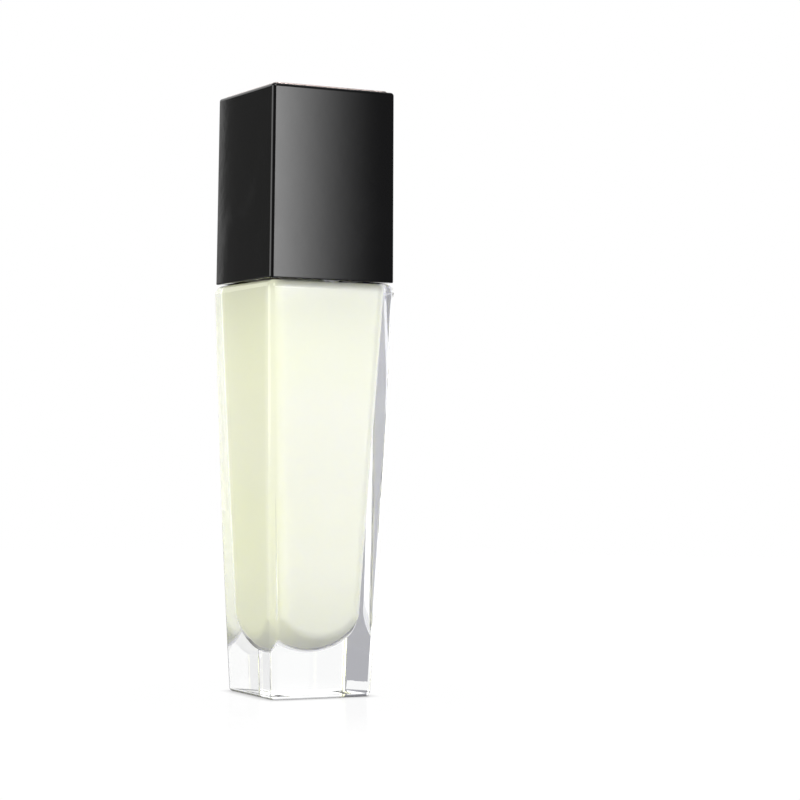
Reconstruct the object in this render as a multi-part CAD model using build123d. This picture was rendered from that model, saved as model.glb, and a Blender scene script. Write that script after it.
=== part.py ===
from build123d import *

import math
import os

# A 50 ml aftershave balm bottle: a square glass bottle that narrows towards its thick base, a
# screw-on treatment pump, and a tall square pull-off overcap with a metal plate set in its top.
# Millimetres, +Z up. The origin is the middle of the base, and the spout points along -Y.
# Each function below makes one piece or one kind of shape.

# --- glass bottle ---
base_half = 13.5                # half of the body's width at the base
shoulder_half = 17.25           # and at the shoulder
shoulder_z = 102.3
side_bow = 0.3                  # how far each side bows out of the straight taper at mid height
glass_corner_r = 1.4
shoulder_edge_r = 2.0
heel_r = 0.9
push_up_half = 8.0              # the shallow hollow under the base
push_up_depth = 0.7
push_up_corner_r = 3.0

cavity_floor_z = 11.0
cavity_ceiling_z = 101.3
cavity_low_half = 10.5          # half of the cavity's width at its floor, before the floor is rounded
cavity_top_half = 15.1          # and at its ceiling
cavity_corner_r = 2.6
cavity_ceiling_r = 1.0
bowl_r = 15.3                   # the cavity's floor is a round bowl this wide
bowl_depth = 13.0               # and this deep
bowl_side_r = 10.5              # the arc that turns its floor up into its side
bowl_rim_r = 3.0                # the rounding where the walls run into it

neck_r = 8.9
neck_bore_r = 6.25
neck_root_r = 1.1
lip_z = 116.3
lip_edge_r = 0.7

# --- screw threads, right-handed, eight turns to the inch ---
thread_pitch = 3.175
thread_root_depth = 0.35        # how deep a thread's foot is sunk into the wall that carries it
neck_thread_r = 9.85            # over the crest
neck_thread_foot = 1.9          # axial width at the foot
neck_thread_crest = 0.8
neck_thread_turns = 1.5
neck_thread_low_z = 107.6       # middle of the thread where it starts
closure_thread_r = 9.2
closure_thread_foot = 0.9
closure_thread_crest = 0.5
closure_thread_turns = 1.25
closure_thread_drop = 1.25      # how far it lies under the neck's thread, with 0.3 between the flanks

# --- balm ---
balm_gap = 0.06                 # between the balm and the glass
channel_gap = 0.35              # between the balm and the pump that stands in it

# --- pump: gasket and housing ---
gasket_t = 0.8
gasket_r = 8.7
gasket_inner_r = 5.5
flange_r = 8.7
flange_t = 1.0
barrel_r = 5.0
barrel_bore_r = 3.9
barrel_foot_z = 88.6
barrel_floor_z = 89.7
cage_r = 3.1
cage_bore_r = 1.9
cage_foot_z = 83.8
cone_h = 1.0
seat_z = 85.2                   # where the ball's conical seat meets the inlet hole
inlet_r = 0.9
nose_r = 2.5
nose_low_z = 78.5
nose_step_h = 0.6
tube_r = 1.6
tube_bore_r = 1.0
tube_top_z = 84.2
tube_low_z = 12.6
tube_fit = 0.02
tube_slant_deg = 45.0           # the tube's foot is cut at a slant, so that it can't seal on the glass

# --- pump: valves, spring, piston and stem ---
ball_r = 1.5
ball_gap = 0.03
retainer_r = 3.85
retainer_hole_r = 1.0
retainer_t = 1.2
retainer_boss_r = 2.2
retainer_boss_h = 0.8
spring_wire_r = 0.3
spring_mean_r = 2.65
spring_turns = 7.5
spring_gap = 0.02               # between the wire and each of its seats
seat_disc_r = 3.0
seat_disc_low_z = 109.4
seat_disc_t = 1.4
pilot_r = 1.9
pilot_h = 2.0
pin_r = 1.05
pin_top_z = 117.0
pin_flutes = 3
pin_flute_w = 0.5
pin_flute_depth = 0.35
piston_r = 3.85
piston_inner_r = 2.2
piston_low_z = 110.9
piston_top_z = 115.8
piston_sleeve_t = 0.6
piston_lip_t = 0.5
piston_cup_depth = 1.3
piston_waist_r = 3.6
piston_lip_h = 1.1
piston_taper_h = 0.6
stem_r = 2.15
stem_bore_r = 1.1
stem_low_z = 111.2
stem_top_z = 134.0

# --- pump: chaplet, closure and collar sleeve ---
chaplet_flange_t = 1.0
chaplet_tower_r = 4.5
chaplet_bore_r = 2.23
chaplet_tower_top_z = 123.5
chaplet_skirt_low_z = 115.9
chaplet_skirt_r = 3.85
chaplet_skirt_inner_r = 3.0
chaplet_bore_low_z = 117.2
closure_r = 11.4
closure_bore_r = 10.15
closure_low_z = 103.2
closure_top_t = 1.2
closure_hole_r = 4.75
closure_play = 0.1              # between the closure and the chaplet it turns on
sleeve_r = 12.0
sleeve_inner_r = 11.42
sleeve_low_z = 103.0
sleeve_top_t = 0.5
sleeve_hole_r = 5.6
sleeve_edge_r = 0.45

# --- actuator ---
core_r = 7.6
core_wall = 1.0
core_low_z = 127.6
core_ceiling_z = 132.4          # roof of the hollow that comes down over the chaplet's tower
core_top_z = 138.0
post_r = 3.5
post_low_z = 129.9
stem_pocket_r = 2.19
stem_pocket_gap = 0.1
shell_r = 8.2
shell_inner_r = 7.62
shell_low_z = 127.3
shell_top_z = 139.6
shell_edge_r = 0.5
dish_r = 26.0                   # the sphere that hollows the finger dish
dish_depth = 0.8
spout_z = 135.6
spout_r = 1.9
spout_bore_r = 0.8
spout_fit = 0.03
spout_inner_y = -2.9
spout_tip_y = -10.4
spout_tip_r = 1.5
spout_collar_y = -8.25
spout_collar_r = 2.5
spout_collar_t = 0.7

# --- overcap ---
cap_low_z = 102.6
cap_top_z = 150.0
cap_low_half = 16.9
cap_top_half = 16.65
cap_corner_r = 0.9
cap_edge_r = 0.8
cap_rim_r = 0.3
cap_wall = 1.55
cap_inner_corner_r = 0.5
cap_top_t = 2.6
plate_half = 15.5
plate_corner_r = 1.4
plate_recess = 1.2
plate_proud = 0.35
plate_edge_r = 0.2
plate_play = 0.05
liner_r = 13.1
liner_bore_r = 12.08            # slides over the collar sleeve
liner_upper_r = 11.3
liner_step_gap = 0.1            # between the step in the bore and the sleeve's top, where the cap rests
liner_low_z = 103.6
liner_ceiling_z = 145.0
liner_roof_t = 1.4
liner_foot_t = 1.4
liner_foot_play = 0.06
liner_foot_corner_r = 0.6
liner_mouth_chamfer = 0.5
liner_crown_r = 9.0             # a round pad on the roof, which meets the shell's ceiling

# --- heights that follow from the ones above ---
gasket_top_z = lip_z + gasket_t
flange_top_z = gasket_top_z + flange_t
chaplet_flange_top_z = flange_top_z + chaplet_flange_t
closure_ceiling_z = chaplet_flange_top_z + closure_play
closure_top_z = closure_ceiling_z + closure_top_t
sleeve_top_z = closure_top_z + sleeve_top_t
retainer_top_z = barrel_floor_z + retainer_t
plate_low_z = cap_top_z - plate_recess
cap_ceiling_z = cap_top_z - cap_top_t


def rod(radius, low_z, high_z):
    """A plain cylinder about the Z axis."""
    return Pos(0, 0, (low_z + high_z) / 2) * Cylinder(radius, high_z - low_z)


def ring(outer_r, inner_r, low_z, high_z):
    return rod(outer_r, low_z, high_z) - rod(inner_r, low_z, high_z)


def turned(*points):
    """The solid of revolution of a closed outline of (radius, z) points about the Z axis."""
    return revolve(make_face(Plane.XZ * Polyline(*points, close=True)), Axis.Z)


def edges_at(body, z):
    """The edges that lie wholly at one height."""
    found = []
    for edge in body.edges():
        box = edge.bounding_box()
        if abs(box.min.Z - z) < 0.01 and abs(box.max.Z - z) < 0.01:
            found.append(edge)
    return found


def corner_edges(body):
    """The upright edges at a square solid's four corners, whether or not they lean or bow."""
    found = []
    for edge in body.edges():
        middle = edge.position_at(0.5)
        span = edge.bounding_box().size
        if span.Z > 3 * max(span.X, span.Y) and abs(abs(middle.X) - abs(middle.Y)) < 0.01:
            found.append(edge)
    return found


def square_taper(low_half, high_half, low_z, high_z, corner_r):
    """A square prism with rounded corners, low_half wide each way at low_z and high_half at high_z."""
    low = Plane.XY.offset(low_z) * Rectangle(2 * low_half, 2 * low_half)
    high = Plane.XY.offset(high_z) * Rectangle(2 * high_half, 2 * high_half)
    body = loft([low, high], ruled=True)
    return fillet(corner_edges(body), corner_r)


def square_plate(half, low_z, high_z, corner_r):
    body = Pos(0, 0, (low_z + high_z) / 2) * Box(2 * half, 2 * half, high_z - low_z)
    return fillet(body.edges().filter_by(Axis.Z), corner_r)


def screw_thread(wall_r, crest_r, foot, crest, turns, low_z):
    """A helical ridge on a wall of radius wall_r. With its crest inside the wall it is an internal thread."""
    foot_r = wall_r + thread_root_depth if crest_r < wall_r else wall_r - thread_root_depth
    helix = Helix(thread_pitch, thread_pitch * turns, wall_r, center=(0, 0, low_z))
    outline = Polyline(
        (foot_r, low_z - foot / 2),
        (crest_r, low_z - crest / 2),
        (crest_r, low_z + crest / 2),
        (foot_r, low_z + foot / 2),
        close=True,
    )
    return sweep(make_face(Plane.XZ * outline), path=helix, is_frenet=True)


def bowed_body():
    """The bottle's square body, tapered, with sides that bow out a little."""
    middle_half = (base_half + shoulder_half) / 2 + side_bow
    right = ThreePointArc((base_half, 0), (middle_half, shoulder_z / 2), (shoulder_half, shoulder_z))
    left = ThreePointArc((-shoulder_half, shoulder_z), (-middle_half, shoulder_z / 2), (-base_half, 0))
    outline = Line((-base_half, 0), (base_half, 0)) + right
    outline += Line((shoulder_half, shoulder_z), (-shoulder_half, shoulder_z)) + left
    slab = extrude(Plane.XZ * make_face(outline), amount=2 * shoulder_half, both=True)
    body = slab & (Rot(0, 0, 90) * slab)
    body = fillet(corner_edges(body), glass_corner_r)
    body = fillet(edges_at(body, shoulder_z), shoulder_edge_r)
    return fillet(edges_at(body, 0), heel_r)


def under_bowl(floor_z):
    """The round block left under a bowl: a wide arc from its lowest point turns up in a tighter one."""
    side_x = bowl_r - bowl_side_r
    floor_r = (side_x**2 + bowl_depth**2 - bowl_side_r**2) / (2 * (bowl_depth - bowl_side_r))
    floor_deg = math.degrees(math.atan2(side_x, floor_r - bowl_depth))
    floor = JernArc((0, floor_z), (1, 0), floor_r, floor_deg)
    side = JernArc(floor @ 1, floor % 1, bowl_side_r, 90 - floor_deg)
    rim = Polyline(side @ 1, (2 * bowl_r, floor_z + bowl_depth), (2 * bowl_r, 0), (0, 0), (0, floor_z))
    return revolve(make_face(Plane.XZ * (floor + side + rim)), Axis.Z)


def cavity(gap):
    """The hollow inside the bottle's body, taken in by gap all round. Its floor is a bowl."""
    floor_z = cavity_floor_z + gap
    ceiling_z = cavity_ceiling_z - gap
    corner_r = cavity_corner_r - gap
    body = square_taper(cavity_low_half - gap, cavity_top_half - gap, floor_z, ceiling_z, corner_r)
    body = fillet(edges_at(body, ceiling_z), cavity_ceiling_r)
    body -= under_bowl(floor_z)
    rim_z = floor_z + bowl_depth
    return fillet([edge for edge in body.edges() if edge.bounding_box().max.Z < rim_z], bowl_rim_r)


def glass_bottle():
    """Body, neck and thread in one piece of glass, hollow from the lip down to the bowl."""
    body = bowed_body()
    body -= square_plate(push_up_half, 0, push_up_depth, push_up_corner_r)
    neck = rod(neck_r, shoulder_z, lip_z)
    body += fillet(edges_at(neck, lip_z), lip_edge_r)
    circles = [edge for edge in edges_at(body, shoulder_z) if edge.geom_type == GeomType.CIRCLE]
    body = fillet([edge for edge in circles if edge.radius == neck_r], neck_root_r)
    body += screw_thread(
        neck_r, neck_thread_r, neck_thread_foot, neck_thread_crest, neck_thread_turns, neck_thread_low_z
    )
    body -= cavity(0)
    body -= rod(neck_bore_r, cavity_ceiling_z - 1, lip_z + 1)
    return body


def balm_fill():
    """The balm up to the shoulder, with a stepped well where the pump and its tube stand in it."""
    well = turned(
        (0, tube_low_z - channel_gap),
        (tube_r + channel_gap, tube_low_z - channel_gap),
        (tube_r + channel_gap, nose_low_z - channel_gap),
        (cage_r + channel_gap, nose_low_z - channel_gap),
        (cage_r + channel_gap, cage_foot_z),
        (barrel_r + channel_gap, cage_foot_z),
        (barrel_r + channel_gap, cavity_ceiling_z),
        (0, cavity_ceiling_z),
    )
    return cavity(balm_gap) - well


def neck_gasket():
    return ring(gasket_r, gasket_inner_r, lip_z, gasket_top_z)


def pump_housing():
    """Flange, barrel, ball cage and the nose that holds the dip tube, with the ball's conical seat inside."""
    return turned(
        (flange_r, flange_top_z),
        (flange_r, gasket_top_z),
        (barrel_r, gasket_top_z),
        (barrel_r, barrel_foot_z),
        (cage_r, barrel_foot_z - cone_h),
        (cage_r, cage_foot_z),
        (nose_r, cage_foot_z - nose_step_h),
        (nose_r, nose_low_z),
        (tube_r + tube_fit, nose_low_z),
        (tube_r + tube_fit, tube_top_z),
        (inlet_r, tube_top_z),
        (inlet_r, seat_z),
        (cage_bore_r, seat_z + cage_bore_r - inlet_r),
        (cage_bore_r, barrel_floor_z),
        (barrel_bore_r, barrel_floor_z),
        (barrel_bore_r, flange_top_z),
    )


def dip_tube():
    tube = ring(tube_r, tube_bore_r, tube_low_z, tube_top_z)
    slant = Pos(0, 0, tube_low_z) * Rot(0, tube_slant_deg, 0) * Pos(0, 0, -5) * Box(20, 20, 10)
    return tube - slant


def inlet_ball():
    """The ball stands just clear of the 45 degree cone under it."""
    apex_z = seat_z - inlet_r
    return Pos(0, 0, apex_z + (ball_r + ball_gap) * math.sqrt(2)) * Sphere(ball_r)


def ball_retainer():
    """The ring above the ball, whose boss centres the spring."""
    disc = rod(retainer_r, barrel_floor_z, retainer_top_z)
    boss = rod(retainer_boss_r, retainer_top_z, retainer_top_z + retainer_boss_h)
    hole = rod(retainer_hole_r, barrel_floor_z, retainer_top_z + retainer_boss_h)
    return disc + boss - hole


def return_spring():
    low_z = retainer_top_z + spring_wire_r + spring_gap
    high_z = seat_disc_low_z - spring_wire_r - spring_gap
    helix = Helix((high_z - low_z) / spring_turns, high_z - low_z, spring_mean_r, center=(0, 0, low_z))
    wire = Plane(origin=helix @ 0, z_dir=helix % 0) * Circle(spring_wire_r)
    return sweep(wire, path=helix, is_frenet=True)


def valve_pin():
    """The disc that the spring lifts and the piston seals on, with a fluted pin held in the stem."""
    body = rod(seat_disc_r, seat_disc_low_z, seat_disc_low_z + seat_disc_t)
    body += rod(pilot_r, seat_disc_low_z - pilot_h, seat_disc_low_z)
    body += rod(pin_r, seat_disc_low_z + seat_disc_t, pin_top_z)
    low_z = seat_disc_low_z + seat_disc_t
    flute = Pos(pin_r, 0, (low_z + pin_top_z) / 2) * Box(2 * pin_flute_depth, pin_flute_w, pin_top_z - low_z)
    for turn in range(pin_flutes):
        body -= Rot(0, 0, turn * 360 / pin_flutes) * flute
    return body


def piston():
    """A double-lipped ring: a sleeve on the stem, a web, and a wall that flares to a lip at each end."""
    sleeve_outer_r = piston_inner_r + piston_sleeve_t
    lip_inner_r = piston_r - piston_lip_t
    cup_low_z = piston_low_z + piston_cup_depth
    cup_high_z = piston_top_z - piston_cup_depth
    return turned(
        (piston_inner_r, piston_low_z),
        (sleeve_outer_r, piston_low_z),
        (sleeve_outer_r, cup_low_z),
        (lip_inner_r, cup_low_z),
        (lip_inner_r, piston_low_z),
        (piston_r, piston_low_z),
        (piston_r, piston_low_z + piston_lip_h),
        (piston_waist_r, piston_low_z + piston_lip_h + piston_taper_h),
        (piston_waist_r, piston_top_z - piston_lip_h - piston_taper_h),
        (piston_r, piston_top_z - piston_lip_h),
        (piston_r, piston_top_z),
        (lip_inner_r, piston_top_z),
        (lip_inner_r, cup_high_z),
        (sleeve_outer_r, cup_high_z),
        (sleeve_outer_r, piston_top_z),
        (piston_inner_r, piston_top_z),
    )


def stem():
    return ring(stem_r, stem_bore_r, stem_low_z, stem_top_z)


def chaplet():
    """The guide that closes the housing: a skirt over the piston, a flange, and a tower round the stem."""
    return turned(
        (chaplet_skirt_inner_r, chaplet_skirt_low_z),
        (chaplet_skirt_r, chaplet_skirt_low_z),
        (chaplet_skirt_r, flange_top_z),
        (flange_r, flange_top_z),
        (flange_r, chaplet_flange_top_z),
        (chaplet_tower_r, chaplet_flange_top_z),
        (chaplet_tower_r, chaplet_tower_top_z),
        (chaplet_bore_r, chaplet_tower_top_z),
        (chaplet_bore_r, chaplet_bore_low_z),
        (chaplet_skirt_inner_r, chaplet_bore_low_z),
    )


def screw_closure():
    """The threaded cap that holds the pump down on the neck and turns round the chaplet's tower."""
    body = rod(closure_r, closure_low_z, closure_top_z)
    body -= rod(closure_bore_r, closure_low_z, closure_ceiling_z)
    body -= rod(closure_hole_r, closure_ceiling_z, closure_top_z)
    return body + screw_thread(
        closure_bore_r,
        closure_thread_r,
        closure_thread_foot,
        closure_thread_crest,
        closure_thread_turns,
        neck_thread_low_z - closure_thread_drop,
    )


def collar_sleeve():
    """The thin metal cover over the closure, on which the overcap slides."""
    body = fillet(edges_at(rod(sleeve_r, sleeve_low_z, sleeve_top_z), sleeve_top_z), sleeve_edge_r)
    body -= rod(sleeve_inner_r, sleeve_low_z, closure_top_z)
    return body - rod(sleeve_hole_r, closure_top_z, sleeve_top_z)


def spout_way(radius, near_y, far_y):
    """A plain cylinder along the spout's axis, from one Y to another."""
    middle = Pos(0, (near_y + far_y) / 2, spout_z)
    return middle * Rot(90, 0, 0) * Cylinder(radius, abs(far_y - near_y))


def actuator_core():
    """The inner button: a post on the stem, the way to the spout, and a skirt over the tower."""
    body = rod(core_r, core_low_z, core_top_z)
    body -= ring(core_r - core_wall, post_r, core_low_z, core_ceiling_z)
    body -= rod(post_r, core_low_z, post_low_z)
    body -= rod(stem_pocket_r, post_low_z, stem_top_z + stem_pocket_gap)
    body -= rod(stem_bore_r, stem_top_z, spout_z)
    body -= spout_way(spout_bore_r, 0, spout_inner_y)
    return body - spout_way(spout_r + spout_fit, spout_inner_y, -core_r - 1)


def actuator_shell():
    """The metal cover of the button, with a finger dish in its top and a hole for the spout."""
    body = fillet(edges_at(rod(shell_r, shell_low_z, shell_top_z), shell_top_z), shell_edge_r)
    body -= rod(shell_inner_r, shell_low_z, core_top_z)
    body -= Pos(0, 0, shell_top_z + dish_r - dish_depth) * Sphere(dish_r)
    return body - spout_way(spout_r + spout_fit, -shell_inner_r + 2, -shell_r - 1)


def spout():
    """The orifice insert: a tube through the shell into the core, with a collar outside and a tapered tip."""
    collar_end_y = spout_collar_y - spout_collar_t
    side = Polyline(
        (spout_bore_r, -spout_inner_y),
        (spout_r, -spout_inner_y),
        (spout_r, -spout_collar_y),
        (spout_collar_r, -spout_collar_y),
        (spout_collar_r, -collar_end_y),
        (spout_r, -collar_end_y),
        (spout_tip_r, -spout_tip_y),
        (spout_bore_r, -spout_tip_y),
        close=True,
    )
    return Pos(0, 0, spout_z) * Rot(90, 0, 0) * revolve(make_face(Plane.XZ * side), Axis.Z)


def cap_inner_half(z):
    """Half of the overcap shell's inner width at a height: its walls lean in towards the top."""
    share = (z - cap_low_z) / (cap_top_z - cap_low_z)
    return cap_low_half - cap_wall - share * (cap_low_half - cap_top_half)


def overcap_shell():
    """The tall square outer cap, with a slight draft and a recess in its top for the plate."""
    body = square_taper(cap_low_half, cap_top_half, cap_low_z, cap_top_z, cap_corner_r)
    body = fillet(edges_at(body, cap_top_z), cap_edge_r)
    body = fillet(edges_at(body, cap_low_z), cap_rim_r)
    body -= square_taper(
        cap_inner_half(cap_low_z), cap_inner_half(cap_ceiling_z), cap_low_z, cap_ceiling_z, cap_inner_corner_r
    )
    return body - square_plate(plate_half + plate_play, plate_low_z, cap_top_z, plate_corner_r + plate_play)


def cap_plate():
    body = square_plate(plate_half, plate_low_z, cap_top_z + plate_proud, plate_corner_r)
    return fillet(edges_at(body, cap_top_z + plate_proud), plate_edge_r)


def overcap_liner():
    """The inner cup that grips the collar sleeve. A square foot and a crown centre it in the shell."""
    foot_top_z = liner_low_z + liner_foot_t
    roof_z = liner_ceiling_z + liner_roof_t
    body = rod(liner_r, liner_low_z, roof_z)
    foot_half = cap_inner_half(foot_top_z) - liner_foot_play
    body += square_plate(foot_half, liner_low_z, foot_top_z, liner_foot_corner_r)
    body += rod(liner_crown_r, roof_z, cap_ceiling_z)
    body -= rod(liner_upper_r, liner_low_z, liner_ceiling_z)
    bore = rod(liner_bore_r, liner_low_z, sleeve_top_z + liner_step_gap)
    mouth = Pos(0, 0, liner_low_z + liner_mouth_chamfer / 2)
    mouth *= Cone(liner_bore_r + liner_mouth_chamfer, liner_bore_r, liner_mouth_chamfer)
    return body - (bore + mouth)


pieces = (
    glass_bottle,
    balm_fill,
    neck_gasket,
    pump_housing,
    dip_tube,
    inlet_ball,
    ball_retainer,
    return_spring,
    valve_pin,
    piston,
    stem,
    chaplet,
    screw_closure,
    collar_sleeve,
    actuator_core,
    actuator_shell,
    spout,
    overcap_shell,
    cap_plate,
    overcap_liner,
)

os.makedirs("parts", exist_ok=True)
for piece in pieces:
    export_step(piece(), "parts/" + piece.__name__ + ".step")
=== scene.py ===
import math

import bmesh
import bpy
from mathutils import Matrix, Vector


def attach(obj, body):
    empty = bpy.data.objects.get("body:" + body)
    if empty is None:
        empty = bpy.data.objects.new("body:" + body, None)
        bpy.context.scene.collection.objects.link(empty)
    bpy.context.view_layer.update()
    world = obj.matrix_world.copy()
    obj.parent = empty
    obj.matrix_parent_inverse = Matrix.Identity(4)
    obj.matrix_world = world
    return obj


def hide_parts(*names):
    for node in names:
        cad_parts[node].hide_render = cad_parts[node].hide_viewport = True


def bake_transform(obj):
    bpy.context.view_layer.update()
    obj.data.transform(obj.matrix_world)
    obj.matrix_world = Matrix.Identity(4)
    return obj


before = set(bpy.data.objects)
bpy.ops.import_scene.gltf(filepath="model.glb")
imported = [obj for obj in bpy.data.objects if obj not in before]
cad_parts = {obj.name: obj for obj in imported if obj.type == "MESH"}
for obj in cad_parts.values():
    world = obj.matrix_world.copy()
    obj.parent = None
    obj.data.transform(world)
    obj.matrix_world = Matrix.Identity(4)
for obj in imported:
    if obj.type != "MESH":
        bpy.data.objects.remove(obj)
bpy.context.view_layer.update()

mm = 0.001

# the view: where the camera stands, measured from the bottle's axis on the floor
viewSettings = {
    "yaw": math.radians(27.5),        # the bottle's left corner is turned this far towards the camera
    "distance": 607.2 * mm,
    "height": 60.9 * mm,
    "aside": 24.5 * mm,               # the camera stands this far to the right of the bottle
    "pitch": math.radians(1.21),
    "roll": math.radians(0.61),
    "lens": 108.9,
    "sensor": 36.0,
    "clip": (0.05, 20.0),
}


def report(stage):
    print("stage:", stage)


# A point given as seen from the camera, in the row's frame.
def inView(right, away, up):
    return Matrix.Rotation(-viewSettings["yaw"], 3, "Z") @ Vector((right, away, up))


def addObject(name, data):
    made = bpy.data.objects.new(name, data)
    bpy.context.scene.collection.objects.link(made)
    return made


def makeCamera():
    s = viewSettings
    data = bpy.data.cameras.new("viewCamera")
    data.lens = s["lens"]
    data.sensor_width = s["sensor"]
    data.clip_start, data.clip_end = s["clip"]
    camera = addObject("viewCamera", data)
    bpy.context.scene.camera = camera
    ahead = Vector((0, math.cos(s["pitch"]), math.sin(s["pitch"])))
    above = Vector((0, -math.sin(s["pitch"]), math.cos(s["pitch"])))
    right = Vector((1, 0, 0))
    right, above = (
        math.cos(s["roll"]) * right + math.sin(s["roll"]) * above,
        math.cos(s["roll"]) * above - math.sin(s["roll"]) * right,
    )
    turn = Matrix.Rotation(-s["yaw"], 3, "Z")
    axes = Matrix((turn @ right, turn @ above, turn @ -ahead)).transposed()
    camera.matrix_world = Matrix.Translation(inView(s["aside"], -s["distance"], s["height"])) @ axes.to_4x4()


# A material with only its output, which shows the surface that is linked to the socket handed back.
def bareMaterial(name):
    material = bpy.data.materials.new(name)
    material.use_nodes = True
    tree = material.node_tree
    tree.nodes.clear()
    output = tree.nodes.new("ShaderNodeOutputMaterial")
    return material, tree, output.inputs["Surface"]


def newMaterial(name):
    material, tree, surface = bareMaterial(name)
    shader = tree.nodes.new("ShaderNodeBsdfPrincipled")
    tree.links.new(shader.outputs["BSDF"], surface)
    return material, tree, shader


def setSockets(node, values):
    for name, value in values.items():
        node.inputs[name].default_value = value


# A node group with named float or colour sockets. inputs is {name: default}, outputs {name: socket type}.
def newGroup(name, inputs, outputs):
    group = bpy.data.node_groups.new(name, "ShaderNodeTree")
    for socketName, default in inputs.items():
        kind = "NodeSocketColor" if isinstance(default, tuple) else "NodeSocketFloat"
        socket = group.interface.new_socket(socketName, in_out="INPUT", socket_type=kind)
        socket.default_value = default
    for socketName, kind in outputs.items():
        group.interface.new_socket(socketName, in_out="OUTPUT", socket_type=kind)
    return group, group.nodes.new("NodeGroupInput"), group.nodes.new("NodeGroupOutput")


def useGroup(tree, group, values):
    node = tree.nodes.new("ShaderNodeGroup")
    node.node_tree = group
    setSockets(node, values)
    return node


def mathNode(tree, operation, first, second=None, third=None, clamp=False):
    node = tree.nodes.new("ShaderNodeMath")
    node.operation = operation
    node.use_clamp = clamp
    for i, value in enumerate((first, second, third)):
        if value is None:
            continue
        if isinstance(value, (int, float)):
            node.inputs[i].default_value = value
        else:
            tree.links.new(value, node.inputs[i])
    return node.outputs[0]


def noiseNode(tree, vector, scale, detail=2.0, roughness=0.5):
    node = tree.nodes.new("ShaderNodeTexNoise")
    tree.links.new(vector, node.inputs["Vector"])
    if isinstance(scale, (int, float)):
        node.inputs["Scale"].default_value = scale
    else:
        tree.links.new(scale, node.inputs["Scale"])
    setSockets(node, {"Detail": detail, "Roughness": roughness})
    return node.outputs["Fac"]


def rangeNode(tree, value, fromMin, fromMax, toMin, toMax, smooth=True):
    node = tree.nodes.new("ShaderNodeMapRange")
    node.interpolation_type = "SMOOTHSTEP" if smooth else "LINEAR"
    for name, given in (
        ("Value", value), ("From Min", fromMin), ("From Max", fromMax), ("To Min", toMin), ("To Max", toMax)
    ):
        if isinstance(given, (int, float)):
            node.inputs[name].default_value = given
        else:
            tree.links.new(given, node.inputs[name])
    return node.outputs["Result"]


def mixColour(tree, factor, first, second):
    node = tree.nodes.new("ShaderNodeMix")
    node.data_type = "RGBA"
    for index, given in ((0, factor), (6, first), (7, second)):
        if isinstance(given, (int, float, tuple)):
            node.inputs[index].default_value = given
        else:
            tree.links.new(given, node.inputs[index])
    return node.outputs[2]


def objectCoords(tree):
    return tree.nodes.new("ShaderNodeTexCoord").outputs["Object"]


def splitCoords(tree, coords):
    split = tree.nodes.new("ShaderNodeSeparateXYZ")
    tree.links.new(coords, split.inputs["Vector"])
    return split.outputs


effectSettings = {
    "noiseShare": 0.5,                # how much of the grain is fine, and how much broad
    "patchEdges": (0.48, 0.72),       # noise between which a smudge fades in
    "edgeTurn": (0.995, 0.9),         # cosines between which an edge's rounded normal counts as an edge
    "edgeSamples": 4,
}


# A roughness that wanders round its base as the value goes from 0 to 1.
def wanderingRoughness(group, value, given):
    swing = mathNode(group, "MULTIPLY_ADD", value, 2.0, -1.0)
    return mathNode(
        group, "MULTIPLY_ADD", swing, given.outputs["Variation"], given.outputs["Roughness"], clamp=True
    )


# Fine moulded or cast grain: a height for bump and a roughness that wanders round its base.
def makeGrainGroup():
    group, given, made = newGroup(
        "surfaceGrain",
        {"Scale": 900.0, "Broad Scale": 60.0, "Roughness": 0.3, "Variation": 0.05},
        {"Height": "NodeSocketFloat", "Roughness": "NodeSocketFloat"},
    )
    coords = objectCoords(group)
    fine = noiseNode(group, coords, given.outputs["Scale"], 3.0, 0.6)
    broad = noiseNode(group, coords, given.outputs["Broad Scale"], 2.0, 0.5)
    share = effectSettings["noiseShare"]
    both = mathNode(group, "MULTIPLY_ADD", broad, share, mathNode(group, "MULTIPLY", fine, share))
    group.links.new(both, made.inputs["Height"])
    group.links.new(wanderingRoughness(group, both, given), made.inputs["Roughness"])
    return group


# Handling haze: soft smudges that raise the roughness a little in patches.
def makeHazeGroup():
    group, given, made = newGroup(
        "handlingHaze",
        {"Roughness": 0.05, "Haze": 0.05, "Scale": 45.0},
        {"Roughness": "NodeSocketFloat", "Mask": "NodeSocketFloat"},
    )
    coords = objectCoords(group)
    patches = noiseNode(group, coords, given.outputs["Scale"], 4.0, 0.55)
    mask = rangeNode(group, patches, *effectSettings["patchEdges"], 0.0, 1.0)
    group.links.new(mask, made.inputs["Mask"])
    rough = mathNode(
        group, "MULTIPLY_ADD", mask, given.outputs["Haze"], given.outputs["Roughness"], clamp=True
    )
    group.links.new(rough, made.inputs["Roughness"])
    return group


# A mask of convex edges, from the difference between the true and the rounded normal.
def makeEdgeGroup():
    group, given, made = newGroup(
        "edgeMask", {"Radius": 0.0006, "Amount": 1.0}, {"Mask": "NodeSocketFloat"}
    )
    bevel = group.nodes.new("ShaderNodeBevel")
    bevel.samples = effectSettings["edgeSamples"]
    group.links.new(given.outputs["Radius"], bevel.inputs["Radius"])
    geometry = group.nodes.new("ShaderNodeNewGeometry")
    dot = group.nodes.new("ShaderNodeVectorMath")
    dot.operation = "DOT_PRODUCT"
    group.links.new(bevel.outputs["Normal"], dot.inputs[0])
    group.links.new(geometry.outputs["Normal"], dot.inputs[1])
    mask = rangeNode(group, dot.outputs["Value"], *effectSettings["edgeTurn"], 0.0, 1.0)
    group.links.new(mathNode(group, "MULTIPLY", mask, given.outputs["Amount"]), made.inputs["Mask"])
    return group


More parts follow.
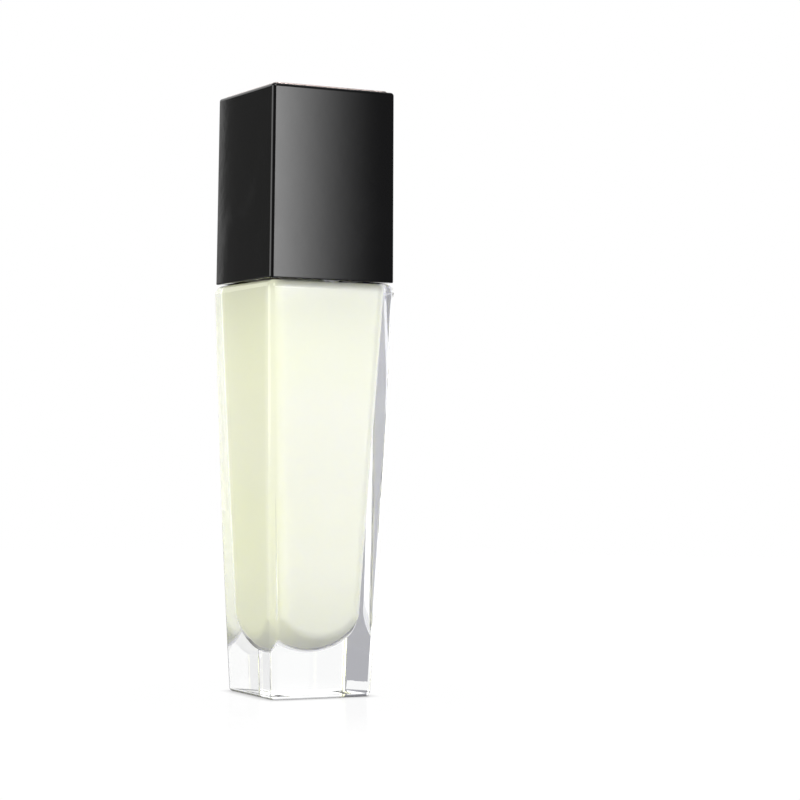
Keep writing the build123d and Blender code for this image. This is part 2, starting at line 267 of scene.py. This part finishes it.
# Long fine brush lines along X, as a height and a roughness.
def makeBrushGroup():
    group, given, made = newGroup(
        "brushLines",
        {"Roughness": 0.25, "Variation": 0.08, "Along": 40.0, "Across": 2600.0},
        {"Height": "NodeSocketFloat", "Roughness": "NodeSocketFloat"},
    )
    coords = objectCoords(group)
    stretch = group.nodes.new("ShaderNodeCombineXYZ")
    group.links.new(given.outputs["Along"], stretch.inputs["X"])
    group.links.new(given.outputs["Across"], stretch.inputs["Y"])
    group.links.new(given.outputs["Across"], stretch.inputs["Z"])
    scaled = group.nodes.new("ShaderNodeVectorMath")
    scaled.operation = "MULTIPLY"
    group.links.new(coords, scaled.inputs[0])
    group.links.new(stretch.outputs["Vector"], scaled.inputs[1])
    lines = noiseNode(group, scaled.outputs["Vector"], 1.0, 2.0, 0.6)
    group.links.new(lines, made.inputs["Height"])
    group.links.new(wanderingRoughness(group, lines, given), made.inputs["Roughness"])
    return group


effects = {
    "grain": makeGrainGroup(),
    "haze": makeHazeGroup(),
    "edge": makeEdgeGroup(),
    "brush": makeBrushGroup(),
}
report("shared effects")


def bumpFrom(tree, shader, height, strength, distance):
    bump = tree.nodes.new("ShaderNodeBump")
    setSockets(bump, {"Strength": strength, "Distance": distance})
    tree.links.new(height, bump.inputs["Height"])
    tree.links.new(bump.outputs["Normal"], shader.inputs["Normal"])


# Gives a carried-over CAD piece its material.
def dress(node, material):
    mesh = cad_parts[node].data
    mesh.materials.clear()
    mesh.materials.append(material)


fineRelief = 0.02 * mm
plasticEdge = 0.4 * mm


def plasticMaterial(name, s):
    material, tree, shader = newMaterial(name)
    setSockets(shader, {"Base Color": s["colour"], "IOR": s["ior"], "Coat Weight": s["coat"]})
    grain = useGroup(tree, effects["grain"], {
        "Scale": s["grainScale"], "Roughness": s["roughness"], "Variation": s["variation"],
    })
    tree.links.new(grain.outputs["Roughness"], shader.inputs["Roughness"])
    bumpFrom(tree, shader, grain.outputs["Height"], s["bump"], fineRelief)
    # painted highlight: convex edges are lightened in colour
    edge = useGroup(tree, effects["edge"], {"Radius": plasticEdge, "Amount": s["edgeHighlightAmount"]})
    colour = mixColour(tree, edge.outputs["Mask"], s["colour"], s["edgeHighlightColour"])
    tree.links.new(colour, shader.inputs["Base Color"])
    return material


glassSettings = {
    "colour": (0.985, 0.99, 0.988, 1.0),
    "roughness": 0.0,
    "ior": 1.5,
    "waveScale": 22.0,                # the slow waves of moulded glass, per metre
    "wave": 0.012,
    "waveDepth": 1.0 * mm,
    # painted shade: a grey rim along the glass's outline, in place of dark edge reflections
    "rimColour": (0.3, 0.3, 0.31, 1.0),
    "rim": (0.62, 1.0),               # painted shade: it greys between these where its surface turns away from the eye
    "heelShadowColour": (0.16, 0.16, 0.165, 1.0),
    "heelShadow": (0.9 * mm, 0.25 * mm),    # and greys between these heights where it meets the floor, as a painted contact shadow
}


def glassMaterial(s):
    material, tree, surface = bareMaterial("clearGlass")
    shader = tree.nodes.new("ShaderNodeBsdfPrincipled")
    setSockets(shader, {"Roughness": s["roughness"], "IOR": s["ior"], "Transmission Weight": 1.0})
    # painted shade: the glass greys along its outline, where its surface turns from the eye
    turned = tree.nodes.new("ShaderNodeLayerWeight")
    turned.inputs["Blend"].default_value = 0.5
    rim = rangeNode(tree, turned.outputs["Facing"], *s["rim"], 0.0, 1.0)
    # painted contact shadow: the glass greys near the floor
    height = splitCoords(tree, objectCoords(tree))["Z"]
    heelShadow = rangeNode(tree, height, *s["heelShadow"], 0.0, 1.0)
    colour = mixColour(tree, rim, s["colour"], s["rimColour"])
    tree.links.new(mixColour(tree, heelShadow, colour, s["heelShadowColour"]), shader.inputs["Base Color"])
    grain = useGroup(tree, effects["grain"], {
        "Scale": 3.0 * s["waveScale"], "Broad Scale": s["waveScale"], "Roughness": s["roughness"],
        "Variation": 0.0,
    })
    bumpFrom(tree, shader, grain.outputs["Height"], s["wave"], s["waveDepth"])
    # light passes straight through, so that the balm is lit
    rays = tree.nodes.new("ShaderNodeLightPath")
    clear = tree.nodes.new("ShaderNodeBsdfTransparent")
    both = tree.nodes.new("ShaderNodeMixShader")
    tree.links.new(rays.outputs["Is Shadow Ray"], both.inputs["Fac"])
    tree.links.new(shader.outputs["BSDF"], both.inputs[1])
    tree.links.new(clear.outputs["BSDF"], both.inputs[2])
    tree.links.new(both.outputs["Shader"], surface)
    return material


dress("glass_bottle", glassMaterial(glassSettings))
report("glass")


# the balm wets the glass: its skin lies just inside the glass's inner face
balmSettings = {
    "colour": (0.895, 0.9, 0.83, 1.0),
    "deepColour": (0.88, 0.895, 0.77, 1.0),
    "endShadeColour": (0.84, 0.85, 0.77, 1.0),   # greyer towards the shoulder and the bowl, as painted shade
    "skimReflectionColour": (0.84, 0.84, 0.87, 1.0),  # and a painted reflection, grey like clear glass, where it is seen along the wall
    "topShadeFade": (0.080, 0.101),        # heights between which painted shade greys it at the shoulder
    "lowShadeFade": (0.034, 0.014),        # and in the bowl
    "cloudScale": 22.0,
    "cloudEdges": (0.35, 0.65),
    "grainScale": 400.0,
    "roughness": 0.4,
    "variation": 0.08,
    "ior": 1.36,
    "wetting": 0.16 * mm,
    "weld": 0.002 * mm,
    "sharpFrom": math.radians(35),
    "subsurface": 0.35,
    "spreadColour": (1.0, 1.0, 0.55),
    "spread": 4.0 * mm,
    "wettedIor": 0.945,               # balm against glass: past 71 degrees it mirrors
    "skimMirror": 0.55,
}


def balmMaterial(s):
    material, tree, shader = newMaterial("balm")
    setSockets(shader, {
        "IOR": s["ior"], "Subsurface Weight": s["subsurface"], "Subsurface Radius": s["spreadColour"],
        "Subsurface Scale": s["spread"],
    })
    coords = objectCoords(tree)
    clouds = noiseNode(tree, coords, s["cloudScale"], 2.0, 0.5)
    depth = rangeNode(tree, clouds, *s["cloudEdges"], 0.0, 1.0)
    body = mixColour(tree, depth, s["colour"], s["deepColour"])
    height = splitCoords(tree, coords)["Z"]
    # painted shade: the balm greys towards the shoulder and the bowl
    high = rangeNode(tree, height, *s["topShadeFade"], 0.0, 1.0)
    low = rangeNode(tree, height, *s["lowShadeFade"], 0.0, 1.0)
    endShadeMask = mathNode(tree, "MAXIMUM", high, low)
    body = mixColour(tree, endShadeMask, body, s["endShadeColour"])
    # seen along the glass, the wetted skin turns partly to a mirror, and its colour greys there as a painted
    # reflection
    skim = tree.nodes.new("ShaderNodeFresnel")
    skim.inputs["IOR"].default_value = s["wettedIor"]
    skim = skim.outputs["Fac"]
    tree.links.new(mixColour(tree, skim, body, s["skimReflectionColour"]), shader.inputs["Base Color"])
    tree.links.new(mathNode(tree, "MULTIPLY", skim, s["skimMirror"]), shader.inputs["Metallic"])
    grain = useGroup(tree, effects["grain"], {
        "Scale": s["grainScale"], "Broad Scale": s["cloudScale"], "Roughness": s["roughness"],
        "Variation": s["variation"],
    })
    dull = mathNode(tree, "SUBTRACT", 1.0, skim)
    rough = mathNode(tree, "MULTIPLY", grain.outputs["Roughness"], dull)
    tree.links.new(rough, shader.inputs["Roughness"])
    return material


# The balm's CAD shape, swollen by the wetting distance so that no air shows between it and the glass.
def makeBalm(s):
    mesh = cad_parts["balm_fill"].data.copy()
    mesh.name = "balmBody"
    work = bmesh.new()
    work.from_mesh(mesh)
    bmesh.ops.remove_doubles(work, verts=work.verts, dist=s["weld"])
    work.normal_update()
    places = [v.co + v.normal * s["wetting"] for v in work.verts]
    for vertex, place in zip(work.verts, places):
        vertex.co = place
    for face in work.faces:
        face.smooth = True
    work.to_mesh(mesh)
    work.free()
    mesh.materials.clear()
    mesh.materials.append(balmMaterial(s))
    mesh.set_sharp_from_angle(angle=s["sharpFrom"])
    piece = addObject("balmBody", mesh)
    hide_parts("balm_fill")
    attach(piece, "bottle")


makeBalm(balmSettings)
report("balm")


capSettings = {
    "colour": (0.0035, 0.0035, 0.004, 1.0),
    # painted highlight on the convex edges
    "edgeHighlightColour": (0.006, 0.006, 0.0065, 1.0),
    "roughness": 0.035,
    "haze": 0.05,
    "hazeScale": 30.0,
    "ior": 1.5,
    "waveScale": 160.0,
    "broadWaveScale": 30.0,
    "wave": 0.012,
    "waveDepth": 0.5 * mm,
    "edgeRadius": 0.4 * mm,
}


def glossMaterial(s):
    material, tree, shader = newMaterial("glossBlack")
    setSockets(shader, {"IOR": s["ior"]})
    haze = useGroup(tree, effects["haze"], {
        "Roughness": s["roughness"], "Haze": s["haze"], "Scale": s["hazeScale"],
    })
    tree.links.new(haze.outputs["Roughness"], shader.inputs["Roughness"])
    grain = useGroup(tree, effects["grain"], {
        "Scale": s["waveScale"], "Broad Scale": s["broadWaveScale"], "Roughness": 0.0, "Variation": 0.0,
    })
    bumpFrom(tree, shader, grain.outputs["Height"], s["wave"], s["waveDepth"])
    # painted highlight: the cap's convex edges are lightened in colour
    edge = useGroup(tree, effects["edge"], {"Radius": s["edgeRadius"], "Amount": 1.0})
    colour = mixColour(tree, edge.outputs["Mask"], s["colour"], s["edgeHighlightColour"])
    tree.links.new(colour, shader.inputs["Base Color"])
    return material


dress("overcap_shell", glossMaterial(capSettings))

metalSettings = {
    "roseMetal": {"colour": (0.93, 0.78, 0.74, 1.0), "roughness": 0.22, "variation": 0.05, "brush": 0.06},
    "collarMetal": {"colour": (0.9, 0.74, 0.69, 1.0), "roughness": 0.16, "variation": 0.04, "brush": 0.04},
    "wireSteel": {"colour": (0.62, 0.62, 0.63, 1.0), "roughness": 0.28, "variation": 0.06, "brush": 0.05},
    "ballSteel": {"colour": (0.72, 0.72, 0.73, 1.0), "roughness": 0.08, "variation": 0.02, "brush": 0.01},
}
metalEdge = {"Radius": 0.3 * mm, "Amount": 0.4}
edgeHighlightGain = 1.08


def metalMaterial(name, s):
    material, tree, shader = newMaterial(name)
    setSockets(shader, {"Metallic": 1.0})
    brush = useGroup(tree, effects["brush"], {"Roughness": s["roughness"], "Variation": s["variation"]})
    tree.links.new(brush.outputs["Roughness"], shader.inputs["Roughness"])
    bumpFrom(tree, shader, brush.outputs["Height"], s["brush"], fineRelief)
    # painted highlight: convex edges are lightened in colour
    edge = useGroup(tree, effects["edge"], metalEdge)
    bright = tuple(min(1.0, c * edgeHighlightGain) for c in s["colour"][:3]) + (1.0,)
    tree.links.new(mixColour(tree, edge.outputs["Mask"], s["colour"], bright), shader.inputs["Base Color"])
    return material


metals = {name: metalMaterial(name, s) for name, s in metalSettings.items()}
dress("cap_plate", metals["roseMetal"])
dress("collar_sleeve", metals["collarMetal"])
dress("actuator_shell", metals["collarMetal"])
dress("inlet_ball", metals["ballSteel"])


# The return spring, which sits between its two seats, as a steel copy of its CAD shape.
def makeSpring():
    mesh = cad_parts["return_spring"].data.copy()
    mesh.name = "returnSpring"
    mesh.materials.clear()
    mesh.materials.append(metals["wireSteel"])
    piece = addObject("returnSpring", mesh)
    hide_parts("return_spring")
    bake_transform(piece)


makeSpring()
report("overcap and metals")

# each plastic's edge colour is a painted highlight on its convex edges
plasticSettings = {
    "linerPlastic": {
        "colour": (0.03, 0.03, 0.032, 1.0), "edgeHighlightColour": (0.05, 0.05, 0.053, 1.0), "edgeHighlightAmount": 0.5,
        "roughness": 0.42, "variation": 0.08, "grainScale": 900.0, "bump": 0.25, "ior": 1.49, "coat": 0.0,
    },
    "satinBlack": {
        "colour": (0.018, 0.018, 0.019, 1.0), "edgeHighlightColour": (0.04, 0.04, 0.042, 1.0), "edgeHighlightAmount": 0.6,
        "roughness": 0.36, "variation": 0.07, "grainScale": 1200.0, "bump": 0.2, "ior": 1.49, "coat": 0.0,
    },
    "naturalPlastic": {
        "colour": (0.84, 0.85, 0.84, 1.0), "edgeHighlightColour": (0.92, 0.93, 0.92, 1.0), "edgeHighlightAmount": 0.6,
        "roughness": 0.38, "variation": 0.06, "grainScale": 1000.0, "bump": 0.15, "ior": 1.49, "coat": 0.0,
    },
    "pistonPlastic": {
        "colour": (0.93, 0.93, 0.92, 1.0), "edgeHighlightColour": (0.97, 0.97, 0.96, 1.0), "edgeHighlightAmount": 0.4,
        "roughness": 0.46, "variation": 0.05, "grainScale": 1000.0, "bump": 0.1, "ior": 1.51, "coat": 0.0,
    },
    "gasketFoam": {
        "colour": (0.88, 0.88, 0.86, 1.0), "edgeHighlightColour": (0.93, 0.93, 0.91, 1.0), "edgeHighlightAmount": 0.3,
        "roughness": 0.7, "variation": 0.1, "grainScale": 2400.0, "bump": 0.6, "ior": 1.45, "coat": 0.0,
    },
}
plastics = {name: plasticMaterial(name, s) for name, s in plasticSettings.items()}
for node, plastic in (
    ("overcap_liner", "linerPlastic"),
    ("screw_closure", "satinBlack"),
    ("actuator_core", "satinBlack"),
    ("spout", "satinBlack"),
    ("pump_housing", "naturalPlastic"),
    ("dip_tube", "naturalPlastic"),
    ("ball_retainer", "naturalPlastic"),
    ("valve_pin", "naturalPlastic"),
    ("stem", "naturalPlastic"),
    ("chaplet", "naturalPlastic"),
    ("piston", "pistonPlastic"),
    ("neck_gasket", "gasketFoam"),
):
    dress(node, plastics[plastic])
report("plastics")


# where a line of sight to a point on an upright face goes once mirrored, as seen from the camera
def mirroredSight(right, away, normal):
    v = viewSettings
    sight = (Vector((right, away)) - Vector((v["aside"], -v["distance"]))).normalized()
    return sight - 2 * sight.dot(normal) * normal


# the studio: a white floor, a white sweep behind, and soft cards that only light and reflections see
capHalf = 16.8 * mm
sineYaw = math.sin(viewSettings["yaw"])
cosineYaw = math.cos(viewSettings["yaw"])
rightNormal = Vector((sineYaw, -cosineYaw))
leftNormal = Vector((-cosineYaw, -sineYaw))
nearCorner = capHalf * (rightNormal + leftNormal)
rightCorner = capHalf * (rightNormal - leftNormal)
leftCorner = capHalf * (leftNormal - rightNormal)

# the key card fills just what the cap's right face mirrors, and the sweep's edge shows at the
# far left of its left face
keyDistance = 450 * mm
sweepAway = 850 * mm
sweepShare = 0.85                     # how far across the left face the sweep's edge shows
keyBright = nearCorner + keyDistance * mirroredSight(*nearCorner, rightNormal)
keyDark = rightCorner + keyDistance * mirroredSight(*rightCorner, rightNormal)
keyMiddle = (keyBright + keyDark) / 2
edgePlace = nearCorner.lerp(leftCorner, sweepShare)
edgeSight = mirroredSight(*edgePlace, leftNormal)
sweepLeft = edgePlace.x + edgeSight.x * (sweepAway - edgePlace.y) / edgeSight.y

cards = {
    "sweepCard": {
        "at": (0.0, sweepAway, 0.3), "aim": 1.0, "width": -2 * sweepLeft, "height": 1.2,
        "strength": 1.7, "mirrored": 0.6, "least": 0.0, "soft": 0.012, "graded": False, "foot": None,
        "through": None,
        "colour": (1.0, 1.0, 1.0),
    },
    "keyCard": {                      # graded from its bright side, which is the nearer to the camera
        "at": (keyMiddle.x, keyMiddle.y, 0.158), "aim": 1.0, "width": 0.0545, "height": 0.304,
        "strength": 6.8, "mirrored": 1.0, "least": 0.15, "soft": 0.09, "graded": True, "dark": 0.005,
        "foot": (0.095, 0.132), "footMirrored": 0.1,   # mirrors see less of it below the cap's share
        "through": 1.05,              # and plain white where it is seen through the glass
        "colour": (1.0, 1.0, 1.0),
    },
    "leftCard": {
        "at": (-0.42, -0.2, 0.205), "aim": 1.0, "width": 0.5, "height": 0.4,
        "strength": 2.8, "mirrored": 1.0, "least": 0.0, "soft": 0.04, "graded": False, "foot": None,
        "through": None,
        "colour": (0.93, 0.94, 0.6),
    },
    "frontCard": {
        "at": (0.25, -0.45, 0.55), "aim": 0.06, "width": 0.5, "height": 0.4,
        "strength": 4.6, "mirrored": 1.0, "least": 0.0, "soft": 0.05, "graded": False, "foot": None,
        "through": None,
        "colour": (1.0, 1.0, 1.0),
    },
    "topCard": {
        "at": (0.0, -0.05, 0.75), "aim": 0.0, "width": 0.9, "height": 0.9,
        "strength": 1.2, "mirrored": 0.72, "least": 0.0, "soft": 0.2, "graded": False, "foot": None,
        "through": None,
        "colour": (1.0, 1.0, 1.0),
    },
}


# 1 for a ray that an outer surface has just mirrored, 0 for one from the camera, scattered or from glass
def mirroredRay(tree):
    rays = tree.nodes.new("ShaderNodeLightPath")
    mirrored = mathNode(tree, "MULTIPLY", rays.outputs["Is Reflection Ray"], rays.outputs["Is Glossy Ray"])
    outside = mathNode(tree, "LESS_THAN", rays.outputs["Transmission Depth"], 0.5)
    return mathNode(tree, "MULTIPLY", mirrored, outside)


# 1 for a ray of sight that has come straight through glass
def throughGlassRay(tree):
    rays = tree.nodes.new("ShaderNodeLightPath")
    unscattered = mathNode(tree, "LESS_THAN", rays.outputs["Diffuse Depth"], 0.5)
    return mathNode(tree, "MULTIPLY", rays.outputs["Is Transmission Ray"], unscattered)


def cardMaterial(name, s):
    material, tree, surface = bareMaterial(name)
    glow = tree.nodes.new("ShaderNodeEmission")
    white = (1.0, 1.0, 1.0, 1.0)
    tree.links.new(mixColour(tree, mirroredRay(tree), s["colour"] + (1.0,), white), glow.inputs["Color"])
    place = splitCoords(tree, objectCoords(tree))
    falls = {}
    for axis, size in (("X", s["width"]), ("Y", s["height"])):
        away = mathNode(tree, "ABSOLUTE", place[axis])
        falls[axis] = rangeNode(tree, away, size / 2, size / 2 - s["soft"], 0.0, 1.0)
    if s["graded"]:
        darkEnd = s["dark"] - s["width"] / 2
        along = rangeNode(tree, place["X"], darkEnd, s["width"] / 2, 0.0, 1.0, False)
        falls["X"] = mathNode(tree, "MULTIPLY", along, along)
    level = mathNode(tree, "MULTIPLY", falls["X"], falls["Y"])
    level = mathNode(tree, "MULTIPLY_ADD", level, s["strength"], s["least"])
    mirrored = s["mirrored"]
    if s["foot"]:
        foot = [height - s["at"][2] for height in s["foot"]]
        mirrored = rangeNode(tree, place["Y"], *foot, s["footMirrored"], s["mirrored"])
    change = rangeNode(tree, mirroredRay(tree), 0.0, 1.0, 1.0, mirrored, False)
    level = mathNode(tree, "MULTIPLY", level, change)
    if s["through"]:
        level = rangeNode(tree, throughGlassRay(tree), 0.0, 1.0, level, s["through"], False)
    tree.links.new(level, glow.inputs["Strength"])
    tree.links.new(glow.outputs["Emission"], surface)
    return material


# A flat panel that faces the bottle's axis at its own height.
def makeCard(name, s):
    work = bmesh.new()
    x, y = s["width"] / 2, s["height"] / 2
    work.faces.new([work.verts.new(corner) for corner in ((-x, -y, 0), (x, -y, 0), (x, y, 0), (-x, y, 0))])
    mesh = bpy.data.meshes.new(name)
    work.to_mesh(mesh)
    work.free()
    mesh.materials.append(cardMaterial(name, s))
    card = addObject(name, mesh)
    place = inView(*s["at"])
    target = Vector((0, 0, min(place.z, s["aim"])))
    facing = (target - place).to_track_quat("Z", "Y").to_matrix().to_4x4()
    card.matrix_world = Matrix.Translation(place) @ facing
    card.visible_camera = False


for cardName, cardSettings in cards.items():
    makeCard(cardName, cardSettings)

floorSettings = {
    "radius": 0.84, "sides": 96, "glow": 1.02, "mirrored": 0.12, "gloss": 0.1, "roughness": 0.12,
    "glossFade": (0.03, 0.115),       # the mirroring dies away between these distances from the bottle's axis
    # painted contact shadow on the floor near the bottle's base
    "contactShadowReach": 3.0 * mm, "contactShadowLevel": 0.4,
}


def makeFloor(s):
    work = bmesh.new()
    edge = [
        work.verts.new((s["radius"] * math.cos(t), s["radius"] * math.sin(t), 0))
        for t in (2 * math.pi * i / s["sides"] for i in range(s["sides"]))
    ]
    work.faces.new(edge)
    mesh = bpy.data.meshes.new("floor")
    work.to_mesh(mesh)
    work.free()
    material, tree, surface = bareMaterial("floorWhite")
    glow = tree.nodes.new("ShaderNodeEmission")
    level = rangeNode(tree, mirroredRay(tree), 0.0, 1.0, s["glow"], s["mirrored"], False)
    # painted contact shadow: the floor's glow darkens near the bottle
    near = tree.nodes.new("ShaderNodeAmbientOcclusion")
    near.inputs["Distance"].default_value = s["contactShadowReach"]
    shade = rangeNode(tree, near.outputs["AO"], 0.0, 1.0, s["contactShadowLevel"], 1.0, False)
    tree.links.new(mathNode(tree, "MULTIPLY", level, shade), glow.inputs["Strength"])
    mirror = tree.nodes.new("ShaderNodeBsdfGlossy")
    mirror.inputs["Roughness"].default_value = s["roughness"]
    both = tree.nodes.new("ShaderNodeMixShader")
    away = tree.nodes.new("ShaderNodeVectorMath")
    away.operation = "LENGTH"
    tree.links.new(objectCoords(tree), away.inputs[0])
    gloss = rangeNode(tree, away.outputs["Value"], *s["glossFade"], s["gloss"], 0.0)
    tree.links.new(gloss, both.inputs["Fac"])
    tree.links.new(glow.outputs["Emission"], both.inputs[1])
    tree.links.new(mirror.outputs["BSDF"], both.inputs[2])
    tree.links.new(both.outputs["Shader"], surface)
    mesh.materials.append(material)
    addObject("floor", mesh)


makeFloor(floorSettings)

worldSettings = {
    "seen": (1.0, 1.0, 1.0, 1.0),         # to the eye the room is white
    "throughGlass": (0.46, 0.46, 0.49, 1.0),
    "other": (0.11, 0.11, 0.11, 1.0),     # dim to everything else, so that the cards shape the reflections
}


def makeWorld(s):
    world = bpy.data.worlds.new("studio")
    bpy.context.scene.world = world
    world.use_nodes = True
    tree = world.node_tree
    tree.nodes.clear()
    output = tree.nodes.new("ShaderNodeOutputWorld")
    background = tree.nodes.new("ShaderNodeBackground")
    rays = tree.nodes.new("ShaderNodeLightPath")
    level = mixColour(tree, rays.outputs["Is Transmission Ray"], s["other"], s["throughGlass"])
    level = mixColour(tree, rays.outputs["Is Camera Ray"], level, s["seen"])
    tree.links.new(level, background.inputs["Color"])
    tree.links.new(background.outputs["Background"], output.inputs["Surface"])


makeWorld(worldSettings)
bpy.context.scene.view_settings.view_transform = "Standard"
makeCamera()
report("studio")
